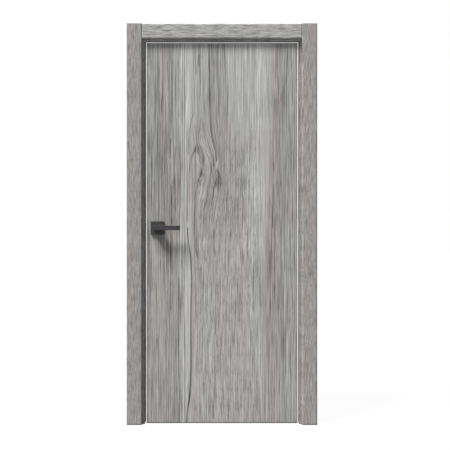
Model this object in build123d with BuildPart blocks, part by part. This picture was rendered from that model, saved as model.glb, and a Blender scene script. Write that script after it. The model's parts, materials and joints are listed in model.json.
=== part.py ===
# Interior door set: a flush leaf in a rebated frame, with casings on both sides of the wall.
# Millimetres. X runs to the right, Y away from the viewer, Z up.
# The origin is on the hinge jamb's outer face, at mid depth, at floor level.
import os
from math import cos, radians, sin, tan

from build123d import *

os.makedirs("parts", exist_ok=True)

# Leaf
leaf_width = 800
leaf_height = 2000
leaf_thickness = 40
skin_thickness = 3
skin_ease = 2.5
strip_width = 6
strip_ease = 0.5
rib_thickness = 3
rib_depth = 8
rib_clearance = 0.2

# Gaps around the leaf
hinge_gap = 5
lock_gap = 6.5
head_gap = 5
floor_gap = 5
leaf_swing = 100

# Frame and seal
frame_thickness = 33
frame_depth = 80
stop_projection = 14
stop_setback = 6
frame_ease = 1
seal_width = 9
seal_inset = 2
seal_leaf_gap = 0.5
seal_round = 2
barb_thickness = 3
barb_depth = 6
barb_clearance = 0.1

# Casings
casing_width = 79
casing_thickness = 12
casing_standoff = 7
casing_ease = 6
side_reveal = 13
head_reveal = 8.5
tongue_thickness = 8
tongue_depth = 11
tongue_inset = 4
tongue_clearance = 0.2
tongue_end_trim = 8
groove_depth = 12.5

# Concealed hinges
hinge_from_top = 220
hinge_from_bottom = 250
pivot_offset = 5
pin_depth = 6.5
pin_diameter = 4
pin_clearance = 0.08
eye_diameter = 11
link_thickness = 8
link_height = 50
link_end_wall = 2
link_clearance = 0.3
swing_clearance = 0.6
cup_wall = 1.8
cup_end_wall = 6
cup_round = 5
flange_thickness = 3
flange_height = 120
screw_spacing = 92
screw_diameter = 4.5
screw_head_diameter = 9
mortise_clearance = 0.2
mortise_spare_depth = 1

# Lock
handle_height = 1030
backset = 61
faceplate_width = 20
faceplate_height = 190
faceplate_thickness = 3
faceplate_screw_spacing = 170
latch_above_spindle = 45
latch_width = 12
latch_height = 24
latch_length = 20
latch_setback = 0.5
latch_clearance = 0.2
case_thickness = 15
case_height = 150
case_beyond_spindle = 25
follower_clearance = 0.5
strike_width = 22
strike_height = 110
strike_thickness = 2.5
strike_screw_spacing = 88
strike_box_depth = 14
strike_box_wall = 1.5

# Handle
rosette_size = 70
rosette_thickness = 8.5
rosette_corner = 2
rosette_ease = 1.2
spigot_diameter = 22
spigot_clearance = 0.08
spigot_setback = 1
neck_width = 37
neck_left = 19
neck_height = 26
neck_gap = 0.5
lever_length = 140
lever_height = 23
lever_taper_start = 36
lever_taper_end = 57
lever_thickness = 10
lever_standoff = 34
lever_bevel_length = 10
lever_bevel_depth = 5
lever_ease = 1
spindle_size = 8
spindle_clearance = 0.05
spindle_reach = 28
spindle_hole_diameter = 20

# Places that follow from the sizes above
frame_front = -frame_depth / 2
frame_back = frame_depth / 2
leaf_front = frame_front
leaf_back = leaf_front + leaf_thickness
leaf_middle = leaf_front + leaf_thickness / 2
stop_face = leaf_back + stop_setback
hinge_rebate_x = -frame_thickness
leaf_hinge_x = hinge_rebate_x - hinge_gap
leaf_lock_x = leaf_hinge_x - leaf_width
lock_rebate_x = leaf_lock_x - lock_gap
lock_outer_x = lock_rebate_x - frame_thickness
leaf_bottom = floor_gap
leaf_top = leaf_bottom + leaf_height
head_rebate_z = leaf_top + head_gap
frame_top = head_rebate_z + frame_thickness
frame_width = -lock_outer_x
core_thickness = leaf_thickness - 2 * skin_thickness
core_width = leaf_width - 2 * strip_width
core_height = leaf_height - strip_width
core_middle_x = (leaf_hinge_x + leaf_lock_x) / 2


def save(part, name):
    # Labels one finished piece and writes it under its own name.
    part.label = name
    export_step(part, f"parts/{name}.step")


# Frame: the section's first axis runs from the outer face into the opening, the second along the depth
def frame_section(reveal):
    with BuildSketch() as section:
        with BuildLine():
            Polyline(
                (0, frame_front),
                (frame_thickness, frame_front),
                (frame_thickness, stop_face),
                (frame_thickness + stop_projection, stop_face),
                (frame_thickness + stop_projection, frame_back),
                (0, frame_back),
                close=True,
            )
        make_face()
        inner_corners = section.vertices().group_by(Axis.X)[-1] + section.vertices().filter_by(
            lambda corner: corner.X == frame_thickness and corner.Y == frame_front
        )
        fillet(inner_corners, radius=frame_ease)
        groove_width = tongue_thickness + 2 * tongue_clearance
        groove_middle = frame_thickness - reveal - tongue_inset - tongue_thickness / 2
        with Locations((groove_middle, frame_front)):
            Rectangle(groove_width, groove_depth, align=(Align.CENTER, Align.MIN), mode=Mode.SUBTRACT)
        with Locations((groove_middle, frame_back)):
            Rectangle(groove_width, groove_depth, align=(Align.CENTER, Align.MAX), mode=Mode.SUBTRACT)
        with Locations((frame_thickness + seal_inset + seal_width / 2, stop_face)):
            Rectangle(
                barb_thickness + 2 * barb_clearance,
                barb_depth + barb_clearance,
                align=(Align.CENTER, Align.MIN),
                mode=Mode.SUBTRACT,
            )
    return section.sketch


def seal_section():
    with BuildSketch() as section:
        with Locations((frame_thickness + seal_inset + seal_width / 2, stop_face)):
            Rectangle(seal_width, stop_setback - seal_leaf_gap, align=(Align.CENTER, Align.MAX))
        fillet(section.vertices().group_by(Axis.Y)[0], radius=seal_round)
        with Locations((frame_thickness + seal_inset + seal_width / 2, stop_face)):
            Rectangle(barb_thickness, barb_depth, align=(Align.CENTER, Align.MIN))
    return section.sketch


hinge_side_plane = Plane(origin=(0, 0, frame_top), x_dir=(-1, 0, 0), z_dir=(0, 0, -1))
lock_side_plane = Plane(origin=(lock_outer_x, 0, 0), x_dir=(1, 0, 0), z_dir=(0, 0, 1))
head_plane = Plane(origin=(lock_outer_x, 0, frame_top), x_dir=(0, 0, -1), z_dir=(1, 0, 0))
hinge_mitre = Plane(origin=(0, 0, frame_top), x_dir=(0, 1, 0), z_dir=(-1, 0, 1))
lock_mitre = Plane(origin=(lock_outer_x, 0, frame_top), x_dir=(0, 1, 0), z_dir=(1, 0, 1))
side_section = frame_section(side_reveal)
head_section = frame_section(head_reveal)
strip_section = seal_section()


# Concealed hinges: a slotted link turns on the jamb's pin at half the leaf's angle.
# The leaf's pin stays in the slot, because both pins mirror each other about the swing's bisector.
jamb_pin_x = hinge_rebate_x + pin_depth
leaf_pin_x = leaf_hinge_x - pin_depth
pivot_y = leaf_front - pivot_offset
half_swing = leaf_swing / 2


def pin_distance(turn):
    across = pin_depth + hinge_gap / 2
    behind = leaf_middle - pivot_y
    return 2 * (across * cos(radians(turn)) + behind * sin(radians(turn)))


link_turns = range(int(half_swing) + 1)
slot_start = pin_distance(0)
slot_end = max(pin_distance(turn) for turn in link_turns)
slot_radius = pin_diameter / 2 + pin_clearance
link_length = slot_end + slot_radius + link_end_wall
mouth_reach = pin_depth * tan(radians(half_swing)) + link_thickness / 2 / cos(radians(half_swing))
tail_reach = max(
    (link_length - pin_distance(turn)) * sin(radians(turn)) + link_thickness / 2 * cos(radians(turn))
    for turn in link_turns
)
pocket_front = leaf_middle - mouth_reach - swing_clearance
pocket_back = leaf_middle + max(tail_reach, eye_diameter / 2) + swing_clearance
pocket_width = pocket_back - pocket_front
pocket_middle = (pocket_front + pocket_back) / 2
pocket_height = link_height + 2 * link_clearance
cup_width = pocket_width + 2 * cup_wall
cup_height = pocket_height + 2 * cup_end_wall
jamb_pocket_depth = pin_depth + eye_diameter / 2 + swing_clearance
leaf_pocket_depth = link_length - pin_depth - hinge_gap + swing_clearance
pin_length = pocket_height + cup_end_wall
hinge_heights = {"top": leaf_top - hinge_from_top, "bottom": leaf_bottom + hinge_from_bottom}


def jamb_face(height):
    return Plane(origin=(hinge_rebate_x, 0, height), x_dir=(0, 1, 0), z_dir=(1, 0, 0))


def leaf_face(height):
    return Plane(origin=(leaf_hinge_x, 0, height), x_dir=(0, 1, 0), z_dir=(-1, 0, 0))


def hinge_cup(face, pocket_depth, pin_x, height):
    # A flanged cup with an open pocket, pin holes above and below it, and two countersunk screw holes.
    with BuildPart() as cup:
        with BuildSketch(face):
            with Locations((pocket_middle, 0)):
                RectangleRounded(cup_width, flange_height, cup_round)
        extrude(amount=flange_thickness)
        with BuildSketch(face):
            with Locations((pocket_middle, 0)):
                Rectangle(cup_width, cup_height)
        extrude(amount=pocket_depth + cup_wall)
        with BuildSketch(face):
            with Locations((pocket_middle, 0)):
                Rectangle(pocket_width, pocket_height)
        extrude(amount=pocket_depth, mode=Mode.SUBTRACT)
        with BuildSketch(Plane.XY.offset(height - pin_length / 2)):
            with Locations((pin_x, leaf_middle)):
                Circle(pin_diameter / 2)
        extrude(amount=pin_length, mode=Mode.SUBTRACT)
        with BuildSketch(face):
            with Locations((pocket_middle, 0)):
                with GridLocations(0, screw_spacing, 1, 2):
                    Circle(screw_diameter / 2)
        extrude(amount=flange_thickness, mode=Mode.SUBTRACT)
        holes = cup.edges().filter_by(GeomType.CIRCLE).filter_by(
            lambda edge: abs(edge.radius - screw_diameter / 2) < pin_clearance
            and abs(edge.center().X - face.origin.X) < pin_clearance
        )
        chamfer(holes, length=(screw_head_diameter - screw_diameter) / 2)
    return cup.part


def cup_mortise(face, pocket_depth):
    with BuildPart() as mortise:
        with BuildSketch(face):
            with Locations((pocket_middle, 0)):
                RectangleRounded(
                    cup_width + 2 * mortise_clearance, flange_height + 2 * mortise_clearance, cup_round
                )
        extrude(amount=flange_thickness)
        with BuildSketch(face):
            with Locations((pocket_middle, 0)):
                Rectangle(cup_width + 2 * mortise_clearance, cup_height + 2 * mortise_clearance)
        extrude(amount=pocket_depth + cup_wall + mortise_spare_depth)
    return mortise.part


jamb_mortises = [cup_mortise(jamb_face(height), jamb_pocket_depth) for height in hinge_heights.values()]
leaf_mortises = [cup_mortise(leaf_face(height), leaf_pocket_depth) for height in hinge_heights.values()]

for place, height in hinge_heights.items():
    save(hinge_cup(jamb_face(height), jamb_pocket_depth, jamb_pin_x, height), f"{place}_hinge_jamb_cup")
    save(hinge_cup(leaf_face(height), leaf_pocket_depth, leaf_pin_x, height), f"{place}_hinge_leaf_cup")

    with BuildPart() as hinge_link:
        with BuildSketch(Plane.XY.offset(height - link_height / 2)):
            with Locations((jamb_pin_x, leaf_middle)):
                Circle(eye_diameter / 2)
                Rectangle(
                    link_length - link_thickness / 2, link_thickness, align=(Align.MAX, Align.CENTER)
                )
            with Locations((jamb_pin_x - link_length + link_thickness / 2, leaf_middle)):
                Circle(link_thickness / 2)
            with Locations((jamb_pin_x, leaf_middle)):
                Circle(pin_diameter / 2 + pin_clearance, mode=Mode.SUBTRACT)
            with Locations((jamb_pin_x - (slot_start + slot_end) / 2, leaf_middle)):
                SlotCenterToCenter(slot_end - slot_start, 2 * slot_radius, mode=Mode.SUBTRACT)
        extrude(amount=link_height)
    save(hinge_link.part, f"{place}_hinge_link")

    for carrier, pin_x in (("jamb", jamb_pin_x), ("leaf", leaf_pin_x)):
        with BuildPart() as hinge_pin:
            with BuildSketch(Plane.XY.offset(height - pin_length / 2)):
                with Locations((pin_x, leaf_middle)):
                    Circle(pin_diameter / 2)
            extrude(amount=pin_length)
        save(hinge_pin.part, f"{place}_hinge_{carrier}_pin")


# Lock: a faceplate flush with the leaf's edge, a case behind it and a magnetic latch bolt, drawn in
lock_face = Plane(origin=(leaf_lock_x, 0, handle_height), x_dir=(0, 1, 0), z_dir=(1, 0, 0))
strike_face = Plane(
    origin=(lock_rebate_x, 0, handle_height + latch_above_spindle), x_dir=(0, 1, 0), z_dir=(-1, 0, 0)
)
case_depth = backset + case_beyond_spindle
follower_diameter = spindle_size * 2**0.5 + 2 * follower_clearance
window_width = latch_width + 2 * latch_clearance
window_height = latch_height + 2 * latch_clearance
latch_hole_depth = latch_setback + latch_length + latch_clearance

with BuildPart() as lock_faceplate:
    with BuildSketch(lock_face):
        with Locations((leaf_middle, 0)):
            RectangleRounded(faceplate_width, faceplate_height, cup_round)
        with Locations((leaf_middle, latch_above_spindle)):
            Rectangle(window_width, window_height, mode=Mode.SUBTRACT)
        with Locations((leaf_middle, 0)):
            with GridLocations(0, faceplate_screw_spacing, 1, 2):
                Circle(screw_diameter / 2, mode=Mode.SUBTRACT)
    extrude(amount=faceplate_thickness)
save(lock_faceplate.part, "lock_faceplate")

with BuildPart() as lock_case:
    with BuildSketch(lock_face.offset(faceplate_thickness)):
        with Locations((leaf_middle, 0)):
            Rectangle(case_thickness, case_height)
    extrude(amount=case_depth - faceplate_thickness)
    with BuildSketch(lock_face):
        with Locations((leaf_middle, latch_above_spindle)):
            Rectangle(window_width, window_height)
    extrude(amount=latch_hole_depth, mode=Mode.SUBTRACT)
    with Locations(Plane.XZ.offset(-leaf_middle) * Location((leaf_lock_x + backset, handle_height, 0))):
        Hole(follower_diameter / 2)
save(lock_case.part, "lock_case")

with BuildPart() as latch_bolt:
    with BuildSketch(lock_face.offset(latch_setback)):
        with Locations((leaf_middle, latch_above_spindle)):
            Rectangle(latch_width, latch_height)
    extrude(amount=latch_length)
    fillet(latch_bolt.faces().sort_by(Axis.X)[0].edges(), radius=latch_setback)
save(latch_bolt.part, "latch_bolt")

with BuildPart() as strike_plate:
    with BuildSketch(strike_face):
        with Locations((leaf_middle, 0)):
            RectangleRounded(strike_width, strike_height, cup_round)
        with Locations((leaf_middle, 0)):
            with GridLocations(0, strike_screw_spacing, 1, 2):
                Circle(screw_diameter / 2, mode=Mode.SUBTRACT)
    extrude(amount=strike_thickness)
    with BuildSketch(strike_face):
        with Locations((leaf_middle, 0)):
            Rectangle(window_width + 2 * strike_box_wall, window_height + 2 * strike_box_wall)
    extrude(amount=strike_box_depth)
    with BuildSketch(strike_face):
        with Locations((leaf_middle, 0)):
            Rectangle(window_width, window_height)
    extrude(amount=strike_box_depth - strike_box_wall, mode=Mode.SUBTRACT)
save(strike_plate.part, "strike_plate")

with BuildPart() as lock_mortise:
    with BuildSketch(lock_face):
        with Locations((leaf_middle, 0)):
            RectangleRounded(
                faceplate_width + 2 * mortise_clearance,
                faceplate_height + 2 * mortise_clearance,
                cup_round,
            )
    extrude(amount=faceplate_thickness)
    with BuildSketch(lock_face):
        with Locations((leaf_middle, 0)):
            Rectangle(case_thickness + 2 * mortise_clearance, case_height + 2 * mortise_clearance)
    extrude(amount=case_depth + mortise_spare_depth)

with BuildPart() as strike_mortise:
    with BuildSketch(strike_face):
        with Locations((leaf_middle, 0)):
            RectangleRounded(
                strike_width + 2 * mortise_clearance,
                strike_height + 2 * mortise_clearance,
                cup_round,
            )
    extrude(amount=strike_thickness)
    with BuildSketch(strike_face):
        with Locations((leaf_middle, 0)):
            Rectangle(
                window_width + 2 * (strike_box_wall + mortise_clearance),
                window_height + 2 * (strike_box_wall + mortise_clearance),
            )
    extrude(amount=strike_box_depth + mortise_spare_depth)


# Frame members, mitred at the two top corners
with BuildPart() as hinge_jamb:
    with BuildSketch(hinge_side_plane):
        add(side_section)
    extrude(amount=frame_top)
    split(bisect_by=hinge_mitre, keep=Keep.BOTTOM)
    add(jamb_mortises, mode=Mode.SUBTRACT)
save(hinge_jamb.part, "hinge_jamb")

with BuildPart() as lock_jamb:
    with BuildSketch(lock_side_plane):
        add(side_section)
    extrude(amount=frame_top)
    split(bisect_by=lock_mitre, keep=Keep.BOTTOM)
    add(strike_mortise.part, mode=Mode.SUBTRACT)
save(lock_jamb.part, "lock_jamb")

with BuildPart() as frame_head:
    with BuildSketch(head_plane):
        add(head_section)
    extrude(amount=frame_width)
    split(bisect_by=hinge_mitre, keep=Keep.TOP)
    split(bisect_by=lock_mitre, keep=Keep.TOP)
save(frame_head.part, "frame_head")

with BuildPart() as hinge_side_seal:
    with BuildSketch(hinge_side_plane):
        add(strip_section)
    extrude(amount=frame_top)
    split(bisect_by=hinge_mitre, keep=Keep.BOTTOM)
save(hinge_side_seal.part, "hinge_side_seal")

with BuildPart() as lock_side_seal:
    with BuildSketch(lock_side_plane):
        add(strip_section)
    extrude(amount=frame_top)
    split(bisect_by=lock_mitre, keep=Keep.BOTTOM)
save(lock_side_seal.part, "lock_side_seal")

with BuildPart() as head_seal:
    with BuildSketch(head_plane):
        add(strip_section)
    extrude(amount=frame_width)
    split(bisect_by=hinge_mitre, keep=Keep.TOP)
    split(bisect_by=lock_mitre, keep=Keep.TOP)
save(head_seal.part, "head_seal")


# Casings: a flat board with rounded front edges and a tongue that slides into the frame's groove.
# The upright boards are cut square at the top.
head_casing_z = head_rebate_z + head_reveal
casing_top = head_casing_z + casing_width
hinge_casing_x = hinge_rebate_x + side_reveal
lock_casing_x = lock_rebate_x - side_reveal
head_casing_length = hinge_casing_x - lock_casing_x
tongue_length = casing_standoff + tongue_depth


def casing(base, length, tongue_from, tongue_to, upright):
    # On the base plane the first axis runs outwards from the inner edge, the second out of the wall.
    with BuildPart() as board:
        with BuildSketch(base):
            with Locations((0, casing_standoff)):
                Rectangle(casing_width, casing_thickness, align=(Align.MIN, Align.MIN))
        extrude(amount=length)
        out_of_wall = Axis(base.origin, base.y_dir)
        front_edges = board.faces().sort_by(out_of_wall)[-1].edges().sort_by(Axis.Z)
        fillet(front_edges[:-1] if upright else front_edges, radius=casing_ease)
        with BuildSketch(base.offset(tongue_from)):
            with Locations((tongue_inset, casing_standoff)):
                Rectangle(tongue_thickness, tongue_length, align=(Align.MIN, Align.MAX))
        extrude(amount=tongue_to - tongue_from)
    return board.part


side_tongue_top = head_casing_z - tongue_end_trim
head_tongue_end = head_casing_length - tongue_end_trim
for side, facing in (("front", -1), ("back", 1)):
    wall_y = facing * frame_depth / 2
    for edge, inner_x, outward in (("hinge", hinge_casing_x, 1), ("lock", lock_casing_x, -1)):
        rises = outward * facing > 0
        foot = Plane(
            origin=(inner_x, wall_y, 0 if rises else casing_top),
            x_dir=(outward, 0, 0),
            z_dir=(0, 0, outward * facing),
        )
        tongue_span = (0, side_tongue_top) if rises else (casing_top - side_tongue_top, casing_top)
        save(casing(foot, casing_top, *tongue_span, upright=True), f"{side}_{edge}_casing")
    start = Plane(
        origin=(lock_casing_x if facing < 0 else hinge_casing_x, wall_y, head_casing_z),
        x_dir=(0, 0, 1),
        z_dir=(-facing, 0, 0),
    )
    head_board = casing(start, head_casing_length, tongue_end_trim, head_tongue_end, upright=False)
    save(head_board, f"{side}_head_casing")


# Leaf: a core between two skins, with metal strips on three edges
spindle_x = leaf_lock_x + backset
spindle_plane = Plane(origin=(spindle_x, 0, handle_height), x_dir=(1, 0, 0), z_dir=(0, -1, 0))

with BuildPart() as spindle_hole:
    with BuildSketch(spindle_plane.offset(-leaf_back)):
        Circle(spindle_hole_diameter / 2)
    extrude(amount=leaf_thickness)


def edge_strip(face, length, rib_trim, mortises):
    # The strip's outer face lies on the plane, and its rib stands behind it, in the core's groove.
    # The rib ends short of the strip's second end by its trim.
    with BuildPart() as strip:
        with BuildSketch(face):
            Rectangle(leaf_thickness, length)
        extrude(amount=strip_width)
        outer_face = strip.faces().sort_by(Axis(face.origin, face.z_dir))[0]
        fillet(outer_face.edges().sort_by(SortBy.LENGTH)[-2:], radius=strip_ease)
        with BuildSketch(face.offset(strip_width)):
            with Locations((0, -rib_trim / 2)):
                Rectangle(rib_thickness, length - rib_trim)
        extrude(amount=rib_depth)
        if mortises:
            add(mortises, mode=Mode.SUBTRACT)
    return strip.part


side_middle_z = leaf_bottom + leaf_height / 2
side_rib_trim = strip_width + rib_depth + rib_clearance
hinge_edge = Plane(origin=(leaf_hinge_x, leaf_middle, side_middle_z), x_dir=(0, -1, 0), z_dir=(-1, 0, 0))
lock_edge = Plane(origin=(leaf_lock_x, leaf_middle, side_middle_z), x_dir=(0, 1, 0), z_dir=(1, 0, 0))
top_edge = Plane(origin=(core_middle_x, leaf_middle, leaf_top), x_dir=(0, 1, 0), z_dir=(0, 0, -1))
save(edge_strip(hinge_edge, leaf_height, side_rib_trim, leaf_mortises), "hinge_edge_strip")
save(edge_strip(lock_edge, leaf_height, side_rib_trim, [lock_mortise.part]), "lock_edge_strip")
save(edge_strip(top_edge, core_width, 0, []), "top_edge_strip")

with BuildPart() as leaf_core:
    with BuildSketch(Plane.XY.offset(leaf_bottom)):
        with Locations((core_middle_x, leaf_middle)):
            Rectangle(core_width, core_thickness)
            with GridLocations(core_width, 0, 2, 1):
                Rectangle(
                    2 * (rib_depth + rib_clearance),
                    rib_thickness + 2 * rib_clearance,
                    mode=Mode.SUBTRACT,
                )
    extrude(amount=core_height)
    with BuildSketch(top_edge.offset(strip_width)):
        Rectangle(rib_thickness + 2 * rib_clearance, core_width)
    extrude(amount=rib_depth + rib_clearance, mode=Mode.SUBTRACT)
    add(leaf_mortises, mode=Mode.SUBTRACT)
    add([lock_mortise.part, spindle_hole.part], mode=Mode.SUBTRACT)
save(leaf_core.part, "leaf_core")

for side, skin_y, facing in (("front", leaf_front, -1), ("back", leaf_back, 1)):
    with BuildPart() as skin:
        with BuildSketch(Plane.XZ.offset(-skin_y)):
            with Locations((core_middle_x, leaf_bottom)):
                Rectangle(core_width, core_height, align=(Align.CENTER, Align.MIN))
        extrude(amount=facing * skin_thickness)
        chamfer(skin.faces().sort_by(Axis.Y)[0 if facing < 0 else -1].edges(), length=skin_ease)
        add(spindle_hole.part, mode=Mode.SUBTRACT)
    save(skin.part, f"{side}_skin")


# Handle: a square rosette and a lever on each side, on one spindle
rosette_front = leaf_front - rosette_thickness
neck_back = rosette_front - neck_gap
lever_back = leaf_front - lever_standoff
lever_front = lever_back - lever_thickness
leaf_mirror = Plane.XZ.offset(-leaf_middle)
lever_right = lever_length - neck_left
lever_bottom = -lever_height / 2
lever_top = lever_height / 2
neck_top = lever_bottom + neck_height

with BuildPart() as front_rosette:
    with BuildSketch(spindle_plane.offset(-leaf_front)):
        Rectangle(rosette_size, rosette_size)
    extrude(amount=rosette_thickness)
    chamfer(front_rosette.edges().filter_by(Axis.Y), length=rosette_corner)
    chamfer(front_rosette.faces().sort_by(Axis.Y)[0].edges(), length=rosette_ease)
    with BuildSketch(spindle_plane.offset(-leaf_front)):
        Circle(spigot_diameter / 2 + spigot_clearance)
    extrude(amount=rosette_thickness, mode=Mode.SUBTRACT)
save(front_rosette.part, "front_rosette")

with BuildPart() as front_lever:
    with BuildSketch(spindle_plane.offset(-lever_back)):
        with BuildLine():
            Polyline(
                (-neck_left, lever_bottom),
                (lever_right, lever_bottom),
                (lever_right, lever_top),
                (lever_taper_end, lever_top),
                (lever_taper_start, neck_top),
                (-neck_left, neck_top),
                close=True,
            )
        make_face()
    extrude(amount=lever_thickness)
    free_end = front_lever.faces().sort_by(Axis.X)[-1].edges().sort_by(Axis.Y)[0]
    chamfer(free_end, length=lever_bevel_depth, length2=lever_bevel_length)
    front_edges = front_lever.faces().sort_by(Axis.Y)[0].edges().sort_by(Axis.X)[:-1]
    chamfer(front_edges, length=lever_ease)
    with BuildSketch(spindle_plane.offset(-neck_back)):
        with Locations((-neck_left, lever_bottom)):
            Rectangle(neck_width, neck_height, align=(Align.MIN, Align.MIN))
    extrude(amount=neck_back - lever_back)
    with BuildSketch(spindle_plane.offset(-leaf_front + spigot_setback)):
        Circle(spigot_diameter / 2)
    extrude(amount=rosette_thickness + neck_gap - spigot_setback)
    with BuildSketch(spindle_plane.offset(-leaf_front)):
        Rectangle(spindle_size + 2 * spindle_clearance, spindle_size + 2 * spindle_clearance)
    extrude(amount=spindle_reach + spindle_clearance, mode=Mode.SUBTRACT)
save(front_lever.part, "front_lever")

with BuildPart() as back_rosette:
    mirror(front_rosette.part, about=leaf_mirror)
save(back_rosette.part, "back_rosette")

with BuildPart() as back_lever:
    mirror(front_lever.part, about=leaf_mirror)
save(back_lever.part, "back_lever")

with BuildPart() as spindle:
    with BuildSketch(spindle_plane.offset(-leaf_back - spindle_reach)):
        Rectangle(spindle_size, spindle_size)
    extrude(amount=leaf_thickness + 2 * spindle_reach)
save(spindle.part, "spindle")
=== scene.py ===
import json
import math

import bmesh
import bpy
from mathutils import Matrix, Vector


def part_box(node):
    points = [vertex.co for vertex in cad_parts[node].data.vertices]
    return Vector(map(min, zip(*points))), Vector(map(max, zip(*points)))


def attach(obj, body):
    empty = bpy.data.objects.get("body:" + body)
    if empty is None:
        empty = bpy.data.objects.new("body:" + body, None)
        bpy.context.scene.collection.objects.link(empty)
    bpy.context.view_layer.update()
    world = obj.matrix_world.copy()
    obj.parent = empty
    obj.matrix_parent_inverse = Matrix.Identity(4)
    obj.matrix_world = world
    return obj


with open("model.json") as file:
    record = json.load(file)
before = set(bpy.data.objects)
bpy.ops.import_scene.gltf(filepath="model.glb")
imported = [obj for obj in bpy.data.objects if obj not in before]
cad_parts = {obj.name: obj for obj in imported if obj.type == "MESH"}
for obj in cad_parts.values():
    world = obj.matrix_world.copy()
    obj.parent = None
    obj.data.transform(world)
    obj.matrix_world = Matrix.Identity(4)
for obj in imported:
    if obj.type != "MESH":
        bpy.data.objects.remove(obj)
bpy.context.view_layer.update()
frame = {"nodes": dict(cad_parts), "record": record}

nodes = frame["nodes"]
MM = 0.001

# Leaf's own place: across from the lock edge, up from the bottom edge
leaf_low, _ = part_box("lock_edge_strip")
_, leaf_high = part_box("hinge_edge_strip")
leaf_wide = (leaf_high.x - leaf_low.x) / MM
leaf_tall = (leaf_high.z - leaf_low.z) / MM


# Node helpers
def feed(tree, socket, value):
    if isinstance(value, Field):
        tree.links.new(value.socket, socket)
    else:
        socket.default_value = value


class Field:
    """A value that varies over a surface: one output of a material's nodes."""

    def __init__(self, tree, socket):
        self.tree = tree
        self.socket = socket

    def math(self, operation, *others):
        node = self.tree.nodes.new("ShaderNodeMath")
        node.operation = operation
        for socket, value in zip(node.inputs, (self, *others)):
            feed(self.tree, socket, value)
        return Field(self.tree, node.outputs[0])

    def __add__(self, other):
        return self.math("ADD", other)

    def __sub__(self, other):
        return self.math("SUBTRACT", other)

    def __mul__(self, other):
        return self.math("MULTIPLY", other)

    def step(self, low, high, start=0.0, end=1.0):
        # A smooth step from start at low to end at high.
        node = self.tree.nodes.new("ShaderNodeMapRange")
        node.interpolation_type = "SMOOTHSTEP"
        for socket, value in zip(node.inputs, (self, low, high, start, end)):
            feed(self.tree, socket, value)
        return Field(self.tree, node.outputs[0])

    def fall(self, low, high):
        # A smooth step down, from one at low to nothing at high.
        return self.step(low, high, start=1.0, end=0.0)

    def window(self, low, high, fade):
        # One between low and high, fading to nothing outside.
        return self.step(low - fade, low) * self.fall(high, high + fade)

    def blend(self, outside, inside):
        # From outside, where this is nothing, to inside, where it is one.
        return self * (inside - outside) + outside

    def curve(self, points, in_size, out_size):
        # A smooth line through a few points, given and read in millimetres.
        node = self.tree.nodes.new("ShaderNodeFloatCurve")
        shape = node.mapping.curves[0]
        ordered = sorted((place / in_size, value / out_size) for place, value in points)
        shape.points[0].location = (0.0, ordered[0][1])
        shape.points[1].location = (1.0, ordered[-1][1])
        for place, value in ordered:
            shape.points.new(place, value)
        node.mapping.update()
        feed(self.tree, node.inputs["Value"], self * (1.0 / in_size))
        return Field(self.tree, node.outputs[0]) * out_size


def place_fields(tree):
    # The surface's own coordinates in millimetres, which move with the piece.
    coords = tree.nodes.new("ShaderNodeTexCoord")
    split = tree.nodes.new("ShaderNodeSeparateXYZ")
    tree.links.new(coords.outputs["Object"], split.inputs[0])
    return [Field(tree, output) * (1.0 / MM) for output in split.outputs]


NOISE_MIDDLE = 0.5


def noise(tree, across, along, fine, long, seed=0.0, detail=2.0, roughness=0.5):
    # Noise drawn out along the grain, from -0.5 to 0.5; sizes are in millimetres.
    joined = tree.nodes.new("ShaderNodeCombineXYZ")
    for socket, value in zip(joined.inputs, (across * (1.0 / fine), along * (1.0 / long), seed)):
        feed(tree, socket, value)
    texture = tree.nodes.new("ShaderNodeTexNoise")
    tree.links.new(joined.outputs[0], texture.inputs["Vector"])
    texture.inputs["Scale"].default_value = 1.0
    texture.inputs["Detail"].default_value = detail
    texture.inputs["Roughness"].default_value = roughness
    return Field(tree, texture.outputs[0]) - NOISE_MIDDLE


# How far from a noise's middle a pore line reaches, and what such lines come to on average
PORE_REACH = 0.08
PORE_AVERAGE = 0.72


def pore_lines(tree, across, along, fine, long, seed):
    # Thin dark lines along the grain, where a noise passes its middle; near nothing on average.
    distance = noise(tree, across, along, fine, long, seed=seed).math("ABSOLUTE")
    return distance.step(0.0, PORE_REACH) - PORE_AVERAGE


def mix_colour(tree, first, second, factor):
    # A mix node's sockets of every kind share their names, so the colour ones go by number.
    node = tree.nodes.new("ShaderNodeMix")
    node.data_type = "RGBA"
    feed(tree, node.inputs["Factor"], factor)
    node.inputs[6].default_value = (*first, 1.0)
    node.inputs[7].default_value = (*second, 1.0)
    return Field(tree, node.outputs[2])


def scale_colour(tree, colour, factor):
    node = tree.nodes.new("ShaderNodeVectorMath")
    node.operation = "SCALE"
    feed(tree, node.inputs[0], colour)
    feed(tree, node.inputs["Scale"], factor)
    return Field(tree, node.outputs[0])


def add_bump(tree, shader, height, strength, distance):
    bump = tree.nodes.new("ShaderNodeBump")
    bump.inputs["Strength"].default_value = strength
    bump.inputs["Distance"].default_value = distance
    feed(tree, bump.inputs["Height"], height)
    tree.links.new(bump.outputs[0], shader.inputs["Normal"])


def new_material(name, **settings):
    material = bpy.data.materials.new(name)
    material.use_nodes = True
    shader = material.node_tree.nodes["Principled BSDF"]
    for socket, value in settings.items():
        shader.inputs[socket.replace("_", " ")].default_value = value
    return material, material.node_tree, shader


def srgb(red, green, blue):
    # A colour written as display values from 0 to 255, in linear light.
    def linear(value):
        part = value / 255
        return part / 12.92 if part <= 0.04045 else ((part + 0.055) / 1.055) ** 2.4

    return tuple(linear(value) for value in (red, green, blue))


WARM = srgb(156, 151.6, 149)
COOL = srgb(152.4, 152.8, 150)


# Leaf laminate: upright grain with a knot beside the middle

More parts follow.
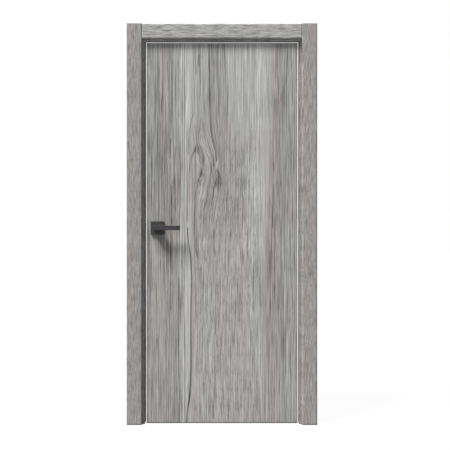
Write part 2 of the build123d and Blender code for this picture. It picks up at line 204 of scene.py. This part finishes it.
# Grain lines, as (up, across) points in millimetres, with a width, a soft side and a strength;
# they are dark, or light where the strength is below nothing
GRAIN_LINES = [
    ([(1990, 331), (1800, 333), (1620, 337), (1490, 347), (1425, 364), (1385, 368)], 4, 5, 0.86),
    ([(1990, 341), (1700, 344), (1560, 352), (1470, 366)], 3, 4, 0.30),
    ([(1560, 305), (1490, 318), (1420, 341), (1360, 356)], 4, 5, 0.38),
    ([(1500, 292), (1430, 312), (1370, 334), (1300, 348)], 4, 5, 0.34),
    ([(1920, 275), (1845, 265)], 4, 5, 0.45),
    ([(1880, 283), (1790, 288)], 4, 5, 0.30),
    ([(1620, 246), (1585, 236), (1540, 229), (1480, 224), (1420, 222)], 4, 5, 0.62),
    ([(1016, 218), (962, 221), (914, 228), (870, 234), (540, 234), (205, 233), (132, 227), (72, 217),
      (5, 214)], 4, 5, 1.10),
    ([(1441, 258), (1408, 240), (1366, 231), (1290, 222), (1220, 218), (1060, 214)], 4, 7, 0.50),
    ([(1318, 290), (1285, 278), (1250, 269), (1195, 258), (1120, 254), (985, 253), (905, 261),
      (885, 266)], 5, 8, 0.40),
    ([(1240, 130), (1140, 133), (1060, 136)], 4, 4, 0.60),
    ([(1480, 128), (1400, 129)], 4, 5, 0.45),
    ([(1440, 154), (1360, 153)], 4, 5, 0.40),
    ([(1015, 354), (920, 354), (895, 361)], 4, 5, 0.50),
    ([(830, 564), (600, 564)], 4, 5, 0.40),
    ([(1240, 668), (1140, 667), (1035, 663)], 4, 5, 0.50),
    ([(1810, 694), (1735, 695)], 4, 5, 0.28),
    ([(710, 674), (640, 676)], 5, 8, 0.26),
    ([(815, 287), (605, 288)], 4, 5, 0.35),
    ([(735, 128), (605, 129)], 4, 5, 0.45),
    ([(600, 362), (480, 364)], 4, 5, 0.38),
    ([(680, 379), (480, 378)], 4, 5, 0.34),
    ([(225, 358), (140, 357), (30, 351)], 4, 6, 0.42),
    ([(1327, 372), (1300, 386), (1260, 390), (1226, 377)], 5, 7, 0.24),
    ([(1223, 355), (1196, 350), (1156, 342)], 5, 6, 0.38),
    ([(1228, 325), (1167, 316)], 4, 5, 0.32),
    ([(1301, 336), (1252, 331)], 4, 5, 0.28),
    ([(1386, 375), (1362, 370), (1338, 366), (1314, 353)], 4, 5, -0.34),
    ([(1239, 363), (1210, 360)], 4, 4, -0.30),
    ([(1218, 329), (1175, 324)], 4, 4, -0.28),
    ([(1164, 262), (1097, 261)], 4, 4, -0.25),
    ([(1590, 285), (1540, 283)], 4, 5, 0.28),
    ([(1100, 171), (5, 172)], 4, 4, 0.38),
    ([(1995, 190), (1000, 189), (5, 187)], 3, 4, 0.56),
    ([(1995, 202), (1000, 202), (5, 202)], 3, 4, 0.64),
]

# How far the grain leans right on its way down into the knot, as (up, lean) points in millimetres
KNOT_LEAN = [
    (1995, 0), (1800, 2), (1620, 6), (1490, 19), (1425, 38),
    (1350, 46), (1250, 40), (1120, 20), (950, 5), (800, 0),
]
# What the leans are divided by, to fit a curve's range from nothing to one
LEAN_SCALE = 100
# Where across the leaf this lean fades in and out
LEAN_IN = (235, 330)
LEAN_OUT = (365, 430)

# Cool patches, as across from and to, up from and to, and a strength
COOL_PATCHES = [
    (14, 60, 1330, 1995, 1.00),
    (24, 62, 620, 1190, 0.70),
    (30, 75, 120, 420, 0.70),
    (132, 184, 1500, 1995, 0.80),
    (180, 226, 0, 1995, 0.90),
    (215, 330, 1640, 1995, 0.90),
    (340, 430, 1680, 1995, 0.70),
    (440, 655, 1560, 1995, 0.80),
    (495, 640, 1250, 1400, 0.85),
    (535, 620, 930, 1250, 0.90),
    (562, 612, 350, 960, 0.90),
    (728, 790, 1360, 1995, 1.00),
    (712, 775, 780, 980, 1.00),
    (712, 770, 20, 260, 0.90),
    (285, 345, 400, 660, 0.90),
    (280, 420, 0, 140, 0.70),
]

# Lighter patches (above nothing) and darker ones (below), the same way
TONE_PATCHES = [
    (190, 226, 0, 1995, 0.45),
    (215, 325, 1640, 1995, 0.12),
    (440, 655, 1560, 1995, 0.27),
    (575, 612, 1230, 1995, 0.12),
    (545, 640, 1250, 1400, 0.20),
    (520, 625, 930, 1300, 0.18),
    (562, 612, 250, 960, 0.12),
    (285, 345, 400, 660, 0.05),
    (240, 560, 0, 900, 0.10),
    (66, 130, 1000, 1995, -0.17),
    (105, 175, 0, 900, -0.08),
    (650, 725, 1000, 1995, -0.08),
    (640, 715, 200, 900, -0.08),
    (335, 420, 1560, 1995, -0.03),
    (0, 66, 1000, 1995, -0.08),
    # The last two are painted shade down the leaf's sides, beside the jambs
    (0, 8, 0, 1995, -0.15),
    (792, 800, 0, 1995, -0.15),
]

# Dark spots of the knot, as across, up, half width, half height and a strength
KNOT_SPOTS = [
    (380, 1280, 15, 58, 0.50),
    (371, 1191, 12, 20, 0.22),
    (350, 1240, 30, 80, 0.07),
    (260, 1430, 11, 17, 0.30),
    (274, 1420, 10, 8, 0.18),
    (290, 1318, 10, 18, 0.26),
    (305, 1299, 11, 9, 0.16),
]
KNOT_ACROSS = 381
KNOT_UP = 1287
# Half width and half height of the place where the grain curls round the knot
CURL_WIDE = 62
CURL_TALL = 190
# Rings in the knot: their middle, size, closeness, raggedness, the radii they fade between, and strength
RINGS_ACROSS = 369
RINGS_WIDE = 26
RINGS_TALL = 85
RINGS_CLOSE = 9.0
RINGS_RAGGED = 7.0
RINGS_FADE = (0.2, 1.7)
RINGS_STRENGTH = 0.10

# The leaf's wavy middle, as from, to and a fade in millimetres
MIDDLE_ACROSS = (290, 560, 60)
MIDDLE_UP = (-100, 1330, 250)

# How far the grain, the drawn lines and the patches' sides stray, in millimetres;
# pairs are at the leaf's sides and in its middle
GRAIN_WANDER = 8.4
GRAIN_CURL = 20.0
GRAIN_RIPPLE = (1.6, 5.6)
LINE_WANDER = 3.5
LINE_RIPPLE = 2.4
PATCH_RAGGED = 24.0
# Fades at the lines' ends, and of the patches across and up
LINE_FADE = 25
COOL_FADE = (16, 150)
TONE_FADE = (20, 160)

# How strong the layers of the leaf's grain are; pairs are at its sides and in its middle
LEAF_STRAIGHT = (1.85, 0.9)
LEAF_WAVY = (0.7, 1.7)
LEAF_PORES = (0.3, 0.1)
LEAF_FLECKS = (0.1, 0.3)
LEAF_THIN = 1.9
LEAF_BROAD = 0.25
# Its lightness, and how cool it is outside the patches
LEAF_LIGHT = 1.04
LEAF_COOL = 0.1
LEAF_COOL_BROAD = 0.8

# Painted shade on the edges and foot of the leaf's skin: how wide it is in millimetres, and the light left
# at its darkest
LEAF_EDGE = 5
LEAF_EDGE_LIGHT = 0.5
LEAF_FOOT = (3, 9)
LEAF_FOOT_LIGHT = 0.3

# What both laminates share
LAMINATE_SHADER = {"Roughness": 0.6, "Specular_IOR_Level": 0.3}
LAMINATE_FIBRES = 0.6
LAMINATE_FIBRE_HEIGHT = 0.5
LAMINATE_BUMP = 0.12
LAMINATE_DEPTH = 0.4 * MM


def lay_laminate(tree, shader, coolness, tone, streaks, fibres):
    # The laminate's colour, from warm to cool and from dark to light, and its shallow relief.
    colour = mix_colour(tree, WARM, COOL, coolness)
    tree.links.new(scale_colour(tree, colour, tone).socket, shader.inputs["Base Color"])
    height = streaks + fibres * LAMINATE_FIBRE_HEIGHT
    add_bump(tree, shader, height, LAMINATE_BUMP, LAMINATE_DEPTH)


def bell(across, up, at_across, at_up, half_wide, half_tall):
    # A soft round patch: one at its middle, nothing far from it.
    side = (across - at_across) * (1 / half_wide)
    rise = (up - at_up) * (1 / half_tall)
    return (side * side + rise * rise).math("MULTIPLY", -1.0).math("EXPONENT")


def patch(across, up, fades, left, right, low, high, strength):
    # An upright patch, with fades at its sides and ends.
    fade_across, fade_up = fades
    return across.window(left, right, fade_across) * up.window(low, high, fade_up) * strength


def line_shade(across, up, points, width, soft, strength):
    # One grain line, softer on its right and faded at both ends.
    offset = across - up.curve(points, leaf_tall, leaf_wide)
    profile = offset.step(-width, 0.0) * offset.fall(0.0, width + soft)
    ends = [place for place, _ in points]
    return profile * up.window(min(ends), max(ends), LINE_FADE) * strength


def knot_rings(across, up, fibre):
    # Light and dark rings that fade away from the knot.
    side = (across - RINGS_ACROSS) * (1 / RINGS_WIDE)
    rise = (up - KNOT_UP) * (1 / RINGS_TALL)
    radius = (side * side + rise * rise).math("SQRT")
    waves = (radius * RINGS_CLOSE + fibre * RINGS_RAGGED).math("SINE")
    return waves * radius.fall(*RINGS_FADE) * RINGS_STRENGTH


def leaf_painted_edge_shade(x, z):
    # Painted shade: the skin darkens on its rounded edges, and most at the foot.
    low, high = (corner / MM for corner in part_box("front_skin"))
    sides = x.step(low.x, low.x + LEAF_EDGE) * x.fall(high.x - LEAF_EDGE, high.x)
    top = z.fall(high.z - LEAF_EDGE, high.z)
    foot_from, foot_to = (low.z + height for height in LEAF_FOOT)
    foot = z.step(foot_from, foot_to)
    return (sides * top).blend(LEAF_EDGE_LIGHT, 1.0) * foot.blend(LEAF_FOOT_LIGHT, 1.0)


def leaf_laminate():
    material, tree, shader = new_material("leaf_laminate", **LAMINATE_SHADER)
    x, _, z = place_fields(tree)
    across = x - leaf_low.x / MM
    up = z - leaf_low.z / MM

    # The grain's own coordinate, which bends into the knot
    wander = noise(tree, across, up, fine=90, long=330, seed=3.0)
    ripple = noise(tree, across, up, fine=22, long=60, seed=5.0)
    fibre = noise(tree, across, up, fine=26, long=60, seed=8.0, detail=3.0)
    curl = fibre * bell(across, up, KNOT_ACROSS, KNOT_UP, CURL_WIDE, CURL_TALL)
    leaning = across.step(*LEAN_IN) * across.fall(*LEAN_OUT)
    lean = up.curve(KNOT_LEAN, leaf_tall, LEAN_SCALE) * leaning
    middle = across.window(*MIDDLE_ACROSS) * up.window(*MIDDLE_UP)
    grain = across - lean + wander * GRAIN_WANDER + curl * GRAIN_CURL
    grain = grain + ripple * middle.blend(*GRAIN_RIPPLE)

    # Layers of fine grain, straighter at the sides than in the middle
    straight = noise(tree, grain, up, fine=5.4, long=520, seed=1.0, roughness=0.6)
    thin = noise(tree, grain, up, fine=3.4, long=260, seed=7.0)
    wavy = noise(tree, grain, up, fine=5.8, long=130, seed=2.0, roughness=0.6)
    broad = noise(tree, grain, up, fine=30, long=900, seed=4.0)
    pores = pore_lines(tree, grain, up, fine=9, long=420, seed=12.0)
    flecks = pore_lines(tree, grain, up, fine=8, long=90, seed=14.0)
    fibres = noise(tree, grain, up, fine=0.9, long=70, seed=16.0)
    streaks = straight * middle.blend(*LEAF_STRAIGHT) + thin * LEAF_THIN + wavy * middle.blend(*LEAF_WAVY)
    streaks = streaks + pores * middle.blend(*LEAF_PORES) + flecks * middle.blend(*LEAF_FLECKS)
    tone = streaks + fibres * LAMINATE_FIBRES + broad * LEAF_BROAD + LEAF_LIGHT

    # Drawn lines, the knot and the patches
    drawn = across + wander * LINE_WANDER + ripple * LINE_RIPPLE
    for line in GRAIN_LINES:
        tone = tone - line_shade(drawn, up, *line)
    tone = tone + knot_rings(drawn, up, fibre)
    for *place_and_size, strength in KNOT_SPOTS:
        tone = tone - bell(drawn, up, *place_and_size) * strength
    ragged = grain + streaks * PATCH_RAGGED
    coolness = broad * LEAF_COOL_BROAD + LEAF_COOL
    for row in COOL_PATCHES:
        coolness = coolness.math("MAXIMUM", patch(ragged, up, COOL_FADE, *row))
    for row in TONE_PATCHES:
        tone = tone + patch(ragged, up, TONE_FADE, *row)
    # The colour is multiplied by painted shade on the skin's edges and foot
    lay_laminate(tree, shader, coolness, tone * leaf_painted_edge_shade(x, z), streaks, fibres)
    return material


# Frame and casing laminate: short wavy flecks along the piece

# How strong its layers are, how far its grain strays in millimetres, and how softly it turns cool
PLAIN_WAVY = 1.2
PLAIN_THIN = 1.65
PLAIN_FLECKS = 0.28
PLAIN_BROAD = 0.12
PLAIN_WANDER = 3.6
PLAIN_COOL_FADE = 0.14
# Painted shade on the outer edges and foot of the upright casings: its size in millimetres and the light
# left there
CASING_LEFT_EDGE = 6
CASING_RIGHT_EDGE = 9
CASING_EDGE_LIGHT = 0.45
CASING_FOOT = (3, 10)
CASING_FOOT_LIGHT = 0.6
# How much of the depth counts across the grain, so that narrow sides show it too
PLAIN_SKEW = 0.8


def casing_painted_edge_shade(x, z):
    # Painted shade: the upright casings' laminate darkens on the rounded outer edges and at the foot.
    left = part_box("front_lock_casing")[0].x / MM
    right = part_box("front_hinge_casing")[1].x / MM
    sides = x.step(left, left + CASING_LEFT_EDGE) * x.fall(right - CASING_RIGHT_EDGE, right)
    return sides.blend(CASING_EDGE_LIGHT, 1.0) * z.step(*CASING_FOOT).blend(CASING_FOOT_LIGHT, 1.0)


def plain_laminate(name, along_axis, light, seed, width=1.0, contrast=1.0, cool_from=0.02, painted_shade=False):
    material, tree, shader = new_material(name, **LAMINATE_SHADER)
    x, y, z = place_fields(tree)
    along, across = (z, x + y * PLAIN_SKEW) if along_axis == "Z" else (x, z + y * PLAIN_SKEW)
    wander = noise(tree, across, along, fine=30, long=72, seed=seed)
    grain = across + wander * PLAIN_WANDER
    wavy = noise(tree, grain, along, fine=4.6 * width, long=57, seed=seed + 1, roughness=0.6)
    thin = noise(tree, grain, along, fine=3.2 * width, long=84, seed=seed + 2)
    broad = noise(tree, grain, along, fine=40, long=260, seed=seed + 3)
    flecks = pore_lines(tree, grain, along, fine=8 * width, long=66, seed=seed + 4)
    fibres = noise(tree, grain, along, fine=0.9, long=40, seed=seed + 5)
    streaks = (wavy * PLAIN_WAVY + thin * PLAIN_THIN + flecks * PLAIN_FLECKS) * contrast
    tone = streaks + fibres * LAMINATE_FIBRES + broad * PLAIN_BROAD + light
    # Painted shade on the casings' outer edges and foot
    if painted_shade:
        tone = tone * casing_painted_edge_shade(x, z)
    coolness = broad.step(cool_from, cool_from + PLAIN_COOL_FADE)
    lay_laminate(tree, shader, coolness, tone, streaks, fibres)
    return material


# Metals, rubber and raw board

# How much a metal's brush marks, or a coat's patches and grain, change its colour and roughness
BRUSH_COLOUR = 0.14
BRUSH_ROUGHNESS = 0.15
COAT_COLOUR = 0.35
COAT_ROUGHNESS = 0.2
# Where in a noise one speckle colour passes into the other
SPECKLE_STEP = (-0.15, 0.2)
# How much of the depth counts across and up, so that every side shows the pattern
COAT_SKEW = (0.7, -0.4)
SPECKLE_SKEW = (0.6, 0.8)


def shaded(colour, factor):
    return tuple(value * factor for value in colour)


def brushed_metal(name, colour, roughness, along_axis="Z", metallic=1.0):
    material, tree, shader = new_material(name, Metallic=metallic)
    x, y, z = place_fields(tree)
    along, across = (z, x + y) if along_axis == "Z" else (x, z + y)
    brush = noise(tree, across, along, fine=0.5, long=60)
    darker = shaded(colour, 1 - BRUSH_COLOUR)
    lighter = shaded(colour, 1 + BRUSH_COLOUR)
    base = mix_colour(tree, darker, lighter, brush + NOISE_MIDDLE)
    tree.links.new(base.socket, shader.inputs["Base Color"])
    feed(tree, shader.inputs["Roughness"], brush * BRUSH_ROUGHNESS + roughness)
    add_bump(tree, shader, brush, strength=0.08, distance=0.1 * MM)
    return material


def coated_metal(name, colour, roughness):
    # A fine matt powder coat, a little paler in patches.
    material, tree, shader = new_material(name, Specular_IOR_Level=0.35)
    x, y, z = place_fields(tree)
    skew_across, skew_up = COAT_SKEW
    grain = noise(tree, x + y * skew_across, z + y * skew_up, fine=0.7, long=0.7)
    cloud = noise(tree, x + y, z, fine=25, long=25, seed=2.0)
    base = mix_colour(tree, colour, shaded(colour, 1 + COAT_COLOUR), cloud + NOISE_MIDDLE)
    tree.links.new(base.socket, shader.inputs["Base Color"])
    feed(tree, shader.inputs["Roughness"], grain * COAT_ROUGHNESS + roughness)
    add_bump(tree, shader, grain, strength=0.10, distance=0.15 * MM)
    return material


def speckled(name, colour, fleck_colour, size, roughness):
    # Rubber and raw board: small flecks of a second tone.
    material, tree, shader = new_material(name, Roughness=roughness, Specular_IOR_Level=0.25)
    x, y, z = place_fields(tree)
    skew_across, skew_up = SPECKLE_SKEW
    across = x + y * skew_across
    flecks = noise(tree, across, z + y * skew_up, fine=size, long=size, detail=3.0, roughness=0.7)
    base = mix_colour(tree, colour, fleck_colour, flecks.step(*SPECKLE_STEP))
    tree.links.new(base.socket, shader.inputs["Base Color"])
    add_bump(tree, shader, flecks, strength=0.15, distance=0.3 * MM)
    return material


ALUMINIUM = (0.78, 0.78, 0.77)
STEEL = (0.56, 0.55, 0.53)
HANDLE_BLACK = (0.029, 0.029, 0.031)
HINGE_GREY = (0.34, 0.34, 0.34)
RUBBER = (0.05, 0.05, 0.05)
RUBBER_FLECK = (0.075, 0.075, 0.075)
BOARD = (0.36, 0.27, 0.18)
BOARD_FLECK = (0.47, 0.37, 0.26)
UPRIGHT_GRAIN = {"along_axis": "Z", "seed": 20.0, "width": 0.75, "contrast": 0.95}
LEVEL_GRAIN = {"along_axis": "X", "seed": 40.0, "contrast": 1.35, "cool_from": -0.14}
EDGE_SHADER = {"roughness": 0.5, "metallic": 0.5}
finishes = {
    "leaf": leaf_laminate(),
    "upright": plain_laminate("upright_laminate", light=0.98, **UPRIGHT_GRAIN),
    # The casings get painted shade on their outer edges and foot
    "casing": plain_laminate("casing_laminate", light=0.955, painted_shade=True, **UPRIGHT_GRAIN),
    "level": plain_laminate("level_laminate", light=1.19, **LEVEL_GRAIN),
    "edge_upright": brushed_metal("edge_aluminium_upright", ALUMINIUM, **EDGE_SHADER),
    "edge_level": brushed_metal("edge_aluminium_level", ALUMINIUM, along_axis="X", **EDGE_SHADER),
    "handle": coated_metal("handle_coat", HANDLE_BLACK, roughness=0.55),
    "hinge": coated_metal("hinge_coat", HINGE_GREY, roughness=0.4),
    "steel": brushed_metal("fitting_steel", STEEL, roughness=0.32),
    "rubber": speckled("seal_rubber", RUBBER, RUBBER_FLECK, size=1.2, roughness=0.7),
    "board": speckled("core_board", BOARD, BOARD_FLECK, size=2.5, roughness=0.85),
}
SLOT_FINISH = {
    "leaf_laminate": "leaf",
    "casing_laminate": "casing",
    "frame_laminate": "upright",
    "core_board": "board",
    "edge_aluminium": "edge_upright",
    "handle_black": "handle",
    "seal_rubber": "rubber",
    "hinge_metal": "hinge",
    "fitting_steel": "steel",
}
LEVEL_NODES = {"frame_head": "level", "front_head_casing": "level", "back_head_casing": "level",
               "top_edge_strip": "edge_level"}


def dress_nodes():
    for row in frame["record"]["subparts"]:
        node = row["node"]
        finish = LEVEL_NODES.get(node, SLOT_FINISH[row["material_slot"]])
        mesh = nodes[node].data
        mesh.materials.clear()
        mesh.materials.append(finishes[finish])


dress_nodes()


# Screws in the hinge cups, the faceplate and the strike plate
SCREW_SIDES = 24
# Cross recess: its depth, and its half width and half length as parts of the top's radius
CROSS_DEPTH = 0.9 * MM
CROSS_HALF_WIDTH = 0.18
CROSS_HALF_LENGTH = 0.66
# Outlines of the two heads, as (radius, height) pairs in millimetres from the top's rim to the shank's end
SUNK_HEAD = [(4.1, -0.2), (1.9, -2.4), (1.9, -2.9)]
LOW_HEAD = [(2.9, 0.7), (3.5, 0.25), (3.5, 0.02), (1.9, 0.02), (1.9, -2.2)]


def cross_outline(radius, height):
    # The corners of a cross recess, in order.
    half = CROSS_HALF_WIDTH * radius
    reach = CROSS_HALF_LENGTH * radius
    arm = [(reach, -half), (reach, half), (half, half)]
    turns = [Matrix.Rotation(quarter * math.pi / 2, 3, "Z") for quarter in range(4)]
    return [turn @ Vector((across, up, height)) for turn in turns for across, up in arm]


def ring_outline(radius, height):
    angles = [2 * math.pi * side / SCREW_SIDES for side in range(SCREW_SIDES)]
    return [Vector((radius * math.cos(angle), radius * math.sin(angle), height)) for angle in angles]


def add_loop(mesh, points, place):
    corners = [mesh.verts.new(place @ point) for point in points]
    return corners, [mesh.edges.new(pair) for pair in zip(corners, corners[1:] + corners[:1])]


def join_loops(mesh, upper, lower):
    for side in range(len(upper)):
        after = (side + 1) % len(upper)
        mesh.faces.new((upper[side], lower[side], lower[after], upper[after]))


def add_screw(mesh, outline, place):
    # One screw: its side, the end of its shank, its top and the cross recess in the top.
    loops = [add_loop(mesh, ring_outline(radius * MM, height * MM), place) for radius, height in outline]
    for (upper, _), (lower, _) in zip(loops, loops[1:]):
        join_loops(mesh, upper, lower)
    mesh.faces.new(list(reversed(loops[-1][0])))
    top_radius, top_height = (size * MM for size in outline[0])
    mouth, mouth_edges = add_loop(mesh, cross_outline(top_radius, top_height), place)
    bottom, _ = add_loop(mesh, cross_outline(top_radius, top_height - CROSS_DEPTH), place)
    bmesh.ops.triangle_fill(mesh, use_beauty=True, edges=loops[0][1] + mouth_edges)
    join_loops(mesh, bottom, mouth)
    mesh.faces.new(bottom)


def make_screws(name, body, outline, places):
    built = bmesh.new()
    for place in places:
        add_screw(built, outline, place)
    bmesh.ops.recalc_face_normals(built, faces=built.faces)
    mesh = bpy.data.meshes.new(name)
    built.to_mesh(mesh)
    built.free()
    mesh.materials.append(finishes["steel"])
    screws = bpy.data.objects.new(name, mesh)
    bpy.context.collection.objects.link(screws)
    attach(screws, body)


def screw_places(node, face, spacing):
    # Two places on a plate, one above and one below its middle; face is the side it shows, 1 for +X.
    low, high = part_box(node)
    middle = (low + high) / 2
    middle.x = high.x if face > 0 else low.x
    out = Matrix.Rotation(face * math.pi / 2, 4, "Y")
    return [Matrix.Translation(middle + Vector((0, 0, side * spacing / 2))) @ out for side in (-1, 1)]


CUP_SCREWS_APART = 92 * MM
FACEPLATE_SCREWS_APART = 170 * MM
STRIKE_SCREWS_APART = 88 * MM
HINGES = ("top", "bottom")
for carrier, body, face in (("jamb", "frame", -1), ("leaf", "leaf", 1)):
    cups = [f"{hinge}_hinge_{carrier}_cup" for hinge in HINGES]
    places = [place for cup in cups for place in screw_places(cup, face, CUP_SCREWS_APART)]
    make_screws(f"hinge_{carrier}_screws", body, SUNK_HEAD, places)
faceplate_places = screw_places("lock_faceplate", -1, FACEPLATE_SCREWS_APART)
make_screws("faceplate_screws", "leaf", LOW_HEAD, faceplate_places)
strike_places = screw_places("strike_plate", 1, STRIKE_SCREWS_APART)
make_screws("strike_screws", "frame", LOW_HEAD, strike_places)


# Stage: pale floor, white surroundings, one soft high light and a weaker one from behind
LIGHT_FROM = Vector((-1.4, -1.0, 3.25))
BACK_LIGHT_FROM = Vector((0.5, 2.2, 2.0))
SUN_STRENGTH = 6.8
SUN_ANGLE = math.radians(13)
BACK_SUN_STRENGTH = 2.2
BACK_SUN_ANGLE = 2 * SUN_ANGLE
AMBIENT = 0.36
AMBIENT_TINT = (0.955, 1.0, 1.085, 1.0)
SUN_TINT = (1.0, 0.995, 0.975)
BACKDROP = (1.0, 1.0, 1.0, 1.0)
BACKDROP_STRENGTH = 1.0
FLOOR_SIZE = 40
FLOOR_GLOW = 0.95
FLOOR_SHADE = 0.03
FLOOR_BOUNCE = 0.15


def seen_directly(tree):
    # One for camera, mirror and glass rays, nothing for light bounced between surfaces.
    paths = tree.nodes.new("ShaderNodeLightPath")
    seen = Field(tree, paths.outputs["Is Camera Ray"])
    for ray in ("Is Glossy Ray", "Is Transmission Ray"):
        seen = seen.math("MAXIMUM", Field(tree, paths.outputs[ray]))
    return seen


def light_world():
    world = bpy.data.worlds.new("studio")
    bpy.context.scene.world = world
    world.use_nodes = True
    tree = world.node_tree
    tree.nodes.clear()
    output = tree.nodes.new("ShaderNodeOutputWorld")
    choice = tree.nodes.new("ShaderNodeMixShader")
    feed(tree, choice.inputs[0], seen_directly(tree))
    for socket, colour, strength in ((1, AMBIENT_TINT, AMBIENT), (2, BACKDROP, BACKDROP_STRENGTH)):
        background = tree.nodes.new("ShaderNodeBackground")
        background.inputs["Color"].default_value = colour
        background.inputs["Strength"].default_value = strength
        tree.links.new(background.outputs[0], choice.inputs[socket])
    tree.links.new(choice.outputs[0], output.inputs["Surface"])


def floor_material():
    material = bpy.data.materials.new("pale_floor")
    material.use_nodes = True
    tree = material.node_tree
    tree.nodes.clear()
    output = tree.nodes.new("ShaderNodeOutputMaterial")
    glow = tree.nodes.new("ShaderNodeEmission")
    glow.inputs["Strength"].default_value = FLOOR_GLOW
    shade = tree.nodes.new("ShaderNodeBsdfDiffuse")
    shade.inputs["Color"].default_value = (FLOOR_SHADE, FLOOR_SHADE, FLOOR_SHADE, 1.0)
    bounce = tree.nodes.new("ShaderNodeBsdfDiffuse")
    bounce.inputs["Color"].default_value = (FLOOR_BOUNCE, FLOOR_BOUNCE, FLOOR_BOUNCE, 1.0)
    seen = tree.nodes.new("ShaderNodeAddShader")
    tree.links.new(glow.outputs[0], seen.inputs[0])
    tree.links.new(shade.outputs[0], seen.inputs[1])
    choice = tree.nodes.new("ShaderNodeMixShader")
    feed(tree, choice.inputs[0], seen_directly(tree))
    tree.links.new(bounce.outputs[0], choice.inputs[1])
    tree.links.new(seen.outputs[0], choice.inputs[2])
    tree.links.new(choice.outputs[0], output.inputs["Surface"])
    return material


def make_floor():
    mesh = bpy.data.meshes.new("floor")
    half = FLOOR_SIZE / 2
    corners = [(-half, -half, 0), (half, -half, 0), (half, half, 0), (-half, half, 0)]
    mesh.from_pydata(corners, [], [(0, 1, 2, 3)])
    mesh.materials.append(floor_material())
    floor = bpy.data.objects.new("floor", mesh)
    bpy.context.collection.objects.link(floor)


def add_sun(name, come_from, strength, angle):
    lamp = bpy.data.lights.new(name, "SUN")
    lamp.energy = strength
    lamp.angle = angle
    lamp.color = SUN_TINT
    sun = bpy.data.objects.new(name, lamp)
    sun.rotation_euler = (-come_from).to_track_quat("-Z", "Y").to_euler()
    bpy.context.collection.objects.link(sun)


light_world()
make_floor()
add_sun("key_light", LIGHT_FROM, SUN_STRENGTH, SUN_ANGLE)
add_sun("back_light", BACK_LIGHT_FROM, BACK_SUN_STRENGTH, BACK_SUN_ANGLE)

# Camera: level, a little right of the door's middle
CAMERA_DISTANCE = 3.44
CAMERA_HEIGHT = 1.045
CAMERA_RIGHT = 0.0158
CAMERA_LENS = 52.45
CAMERA_SENSOR = 36

camera_data = bpy.data.cameras.new("camera")
camera_data.lens = CAMERA_LENS
camera_data.sensor_width = CAMERA_SENSOR
camera = bpy.data.objects.new("camera", camera_data)
jamb_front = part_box("hinge_jamb")[0].y
door_middle = (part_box("front_lock_casing")[0].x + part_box("front_hinge_casing")[1].x) / 2
camera.location = (door_middle + CAMERA_RIGHT, jamb_front - CAMERA_DISTANCE, CAMERA_HEIGHT)
camera.rotation_euler = (math.pi / 2, 0, 0)
bpy.context.collection.objects.link(camera)
bpy.context.scene.camera = camera
bpy.context.scene.view_settings.view_transform = "Standard"
